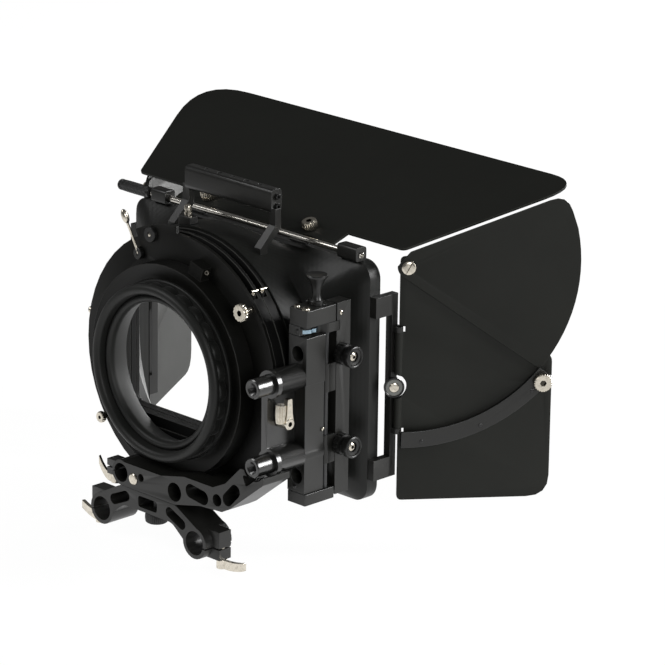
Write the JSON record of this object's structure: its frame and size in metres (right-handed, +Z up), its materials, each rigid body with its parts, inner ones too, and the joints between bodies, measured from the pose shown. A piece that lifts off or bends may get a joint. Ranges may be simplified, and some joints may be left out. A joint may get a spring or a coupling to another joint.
{
  "type": "matte box",
  "caption": "Swing-away matte box on paired support rods: rubber lens ring, rotating filter stages with trays, flared hood, top flag, side flags with folding wings.",
  "frame": {"origin": "midway between the axes of the two 19 mm studio rods, at the rear face of the lower clamp", "axes": "+Z up, +Y along the rods towards the subject, +X to the right seen from behind the box"},
  "size_m": [0.4343, 0.2529, 0.2856],
  "materials": {
    "anodised": "black anodised, satin",
    "plate": "black anodised sheet, matte",
    "moulded": "moulded black, fine texture",
    "rubber": "soft black rubber",
    "steel": "bright nickel"
  },
  "bodies": {
    "support": {"studio_clamp": "anodised", "rod_bridge": "anodised", "post_carrier": "anodised"},
    "studio_lever_left": {"studio_lever_left": "steel"},
    "studio_lever_right": {"studio_lever_right": "steel"},
    "rod_lever": {"rod_lever": "steel"},
    "clamp_knob": {"clamp_knob": "anodised"},
    "push_pin": {"push_pin": "steel"},
    "carrier_lever": {"carrier_lever": "steel"},
    "column": {"post_upper": "anodised", "post_lower": "anodised", "hinge_column": "anodised", "column_spacer": "anodised", "column_cap_top": "anodised", "column_cap_bottom": "anodised", "hinge_pin": "steel", "latch_leaf": "steel"},
    "swing_plunger": {"swing_plunger": "anodised"},
    "box": {"hinge_rail": "anodised", "index_plate": "steel", "rail_bracket": "anodised", "lens_ring": "rubber", "lens_collar": "anodised", "rear_plate": "anodised", "hood": "moulded", "latch_bracket": "anodised", "latch_post": "steel", "accessory_bar": "anodised", "flag_rod": "steel", "rod_clamp_left": "anodised", "rod_clamp_right": "anodised", "side_bracket_left": "anodised", "side_bracket_right": "anodised", "friction_disc_left": "anodised", "friction_disc_right": "anodised"},
    "rail_knob_upper": {"rail_knob_upper": "anodised"},
    "rail_knob_lower": {"rail_knob_lower": "anodised"},
    "plate_thumbscrew": {"plate_thumbscrew": "steel"},
    "lens_clamp_lever": {"lens_clamp_lever": "steel"},
    "stage_rear": {"filter_stage_rear": "anodised"},
    "stage_front": {"filter_stage_front": "anodised"},
    "tray_rear": {"filter_tray_rear": "anodised"},
    "tray_front": {"filter_tray_front": "anodised"},
    "top_flag": {"top_flag": "plate", "flag_clip_left": "anodised", "flag_clip_right": "anodised", "clip_screw_left": "steel", "clip_screw_right": "steel"},
    "side_flag_left": {"side_flag_left": "plate", "wing_guide_left": "anodised", "wing_pivot_left": "steel"},
    "side_flag_right": {"side_flag_right": "plate", "wing_guide_right": "anodised", "wing_pivot_right": "steel"},
    "flag_wing_left": {"flag_wing_left": "plate"},
    "flag_wing_right": {"flag_wing_right": "plate"},
    "wing_lock_left": {"wing_lock_left": "steel"},
    "wing_lock_right": {"wing_lock_right": "steel"}
  },
  "joints": [
    {"name": "studio_lever_left_turn", "type": "hinge", "parent": "support", "child": "studio_lever_left", "pos_m": [-0.068, 0.0135, -0.011], "axis": [0, 0, 1], "range_deg": [-35, 35]},
    {"name": "studio_lever_right_turn", "type": "hinge", "parent": "support", "child": "studio_lever_right", "pos_m": [0.068, 0.0135, -0.011], "axis": [0, 0, 1], "range_deg": [-35, 35]},
    {"name": "rod_lever_turn", "type": "hinge", "parent": "support", "child": "rod_lever", "pos_m": [-0.0445, 0.0085, 0.029], "axis": [0, 0, 1], "range_deg": [-35, 0]},
    {"name": "clamp_knob_turn", "type": "hinge", "parent": "support", "child": "clamp_knob", "pos_m": [0, 0.0095, 0.005], "axis": [0, 0, 1], "continuous": true},
    {"name": "push_pin_press", "type": "slide", "parent": "support", "child": "push_pin", "axis": [0, 1, 0], "range_m": [0, 0.003], "stiffness_N_per_m": 600},
    {"name": "carrier_lever_turn", "type": "hinge", "parent": "support", "child": "carrier_lever", "pos_m": [0.12, 0.028, 0.1064], "axis": [1, 0, 0], "range_deg": [-20, 100]},
    {"name": "post_slide", "type": "slide", "parent": "support", "child": "column", "axis": [0, 1, 0], "range_m": [0, 0.02]},
    {"name": "plunger_pull", "type": "slide", "parent": "column", "child": "swing_plunger", "axis": [0, 0, 1], "range_m": [0, 0.006], "stiffness_N_per_m": 800},
    {"name": "box_swing", "type": "hinge", "parent": "column", "child": "box", "pos_m": [0.1218, 0.0676, 0.115], "axis": [0, 0, 1], "range_deg": [-90, 0]},
    {"name": "rail_knob_upper_turn", "type": "hinge", "parent": "box", "child": "rail_knob_upper", "pos_m": [0.13, 0.0797, 0.1505], "axis": [1, 0, 0], "continuous": true},
    {"name": "rail_knob_lower_turn", "type": "hinge", "parent": "box", "child": "rail_knob_lower", "pos_m": [0.13, 0.0797, 0.08], "axis": [1, 0, 0], "continuous": true},
    {"name": "plate_thumbscrew_turn", "type": "hinge", "parent": "box", "child": "plate_thumbscrew", "pos_m": [0.078, 0.024, 0.1828], "axis": [0, 1, 0], "continuous": true},
    {"name": "lens_clamp_turn", "type": "hinge", "parent": "box", "child": "lens_clamp_lever", "pos_m": [-0.044, 0.031, 0.2], "axis": [0, 1, 0], "range_deg": [-20, 35]},
    {"name": "stage_rear_turn", "type": "hinge", "parent": "box", "child": "stage_rear", "pos_m": [0, 0.041, 0.12], "axis": [0, 1, 0], "range_deg": [-90, 15]},
    {"name": "stage_front_turn", "type": "hinge", "parent": "box", "child": "stage_front", "pos_m": [0, 0.05, 0.12], "axis": [0, 1, 0], "range_deg": [-90, 15]},
    {"name": "tray_rear_lift", "type": "slide", "parent": "stage_rear", "child": "tray_rear", "axis": [0, 0, 1], "range_m": [0, 0.125]},
    {"name": "tray_front_lift", "type": "slide", "parent": "stage_front", "child": "tray_front", "axis": [0, 0, 1], "range_m": [0, 0.125]},
    {"name": "top_flag_tilt", "type": "hinge", "parent": "box", "child": "top_flag", "pos_m": [0, 0.107, 0.2186], "axis": [1, 0, 0], "range_deg": [-2, 60]},
    {"name": "side_flag_left_swing", "type": "hinge", "parent": "box", "child": "side_flag_left", "pos_m": [-0.139, 0.127, 0.12], "axis": [0, 0, -1], "range_deg": [-60, 66]},
    {"name": "side_flag_right_swing", "type": "hinge", "parent": "box", "child": "side_flag_right", "pos_m": [0.139, 0.127, 0.12], "axis": [0, 0, 1], "range_deg": [-52, 4]},
    {"name": "wing_left_fold", "type": "hinge", "parent": "side_flag_left", "child": "flag_wing_left", "pos_m": [-0.1446, 0.1307, 0.2107], "axis": [0.866, 0.5, 0], "range_deg": [-33, 8]},
    {"name": "wing_lock_left_turn", "type": "hinge", "parent": "side_flag_left", "child": "wing_lock_left", "pos_m": [-0.20023, 0.21706, 0.11992], "axis": [0.866, 0.5, 0], "continuous": true},
    {"name": "wing_right_fold", "type": "hinge", "parent": "side_flag_right", "child": "flag_wing_right", "pos_m": [0.14506, 0.12988, 0.2107], "axis": [0.788, -0.6157, 0], "range_deg": [-45, 0]},
    {"name": "wing_lock_right_turn", "type": "hinge", "parent": "side_flag_right", "child": "wing_lock_right", "pos_m": [0.21217, 0.20766, 0.11992], "axis": [-0.788, 0.6157, 0], "continuous": true}
  ]
}
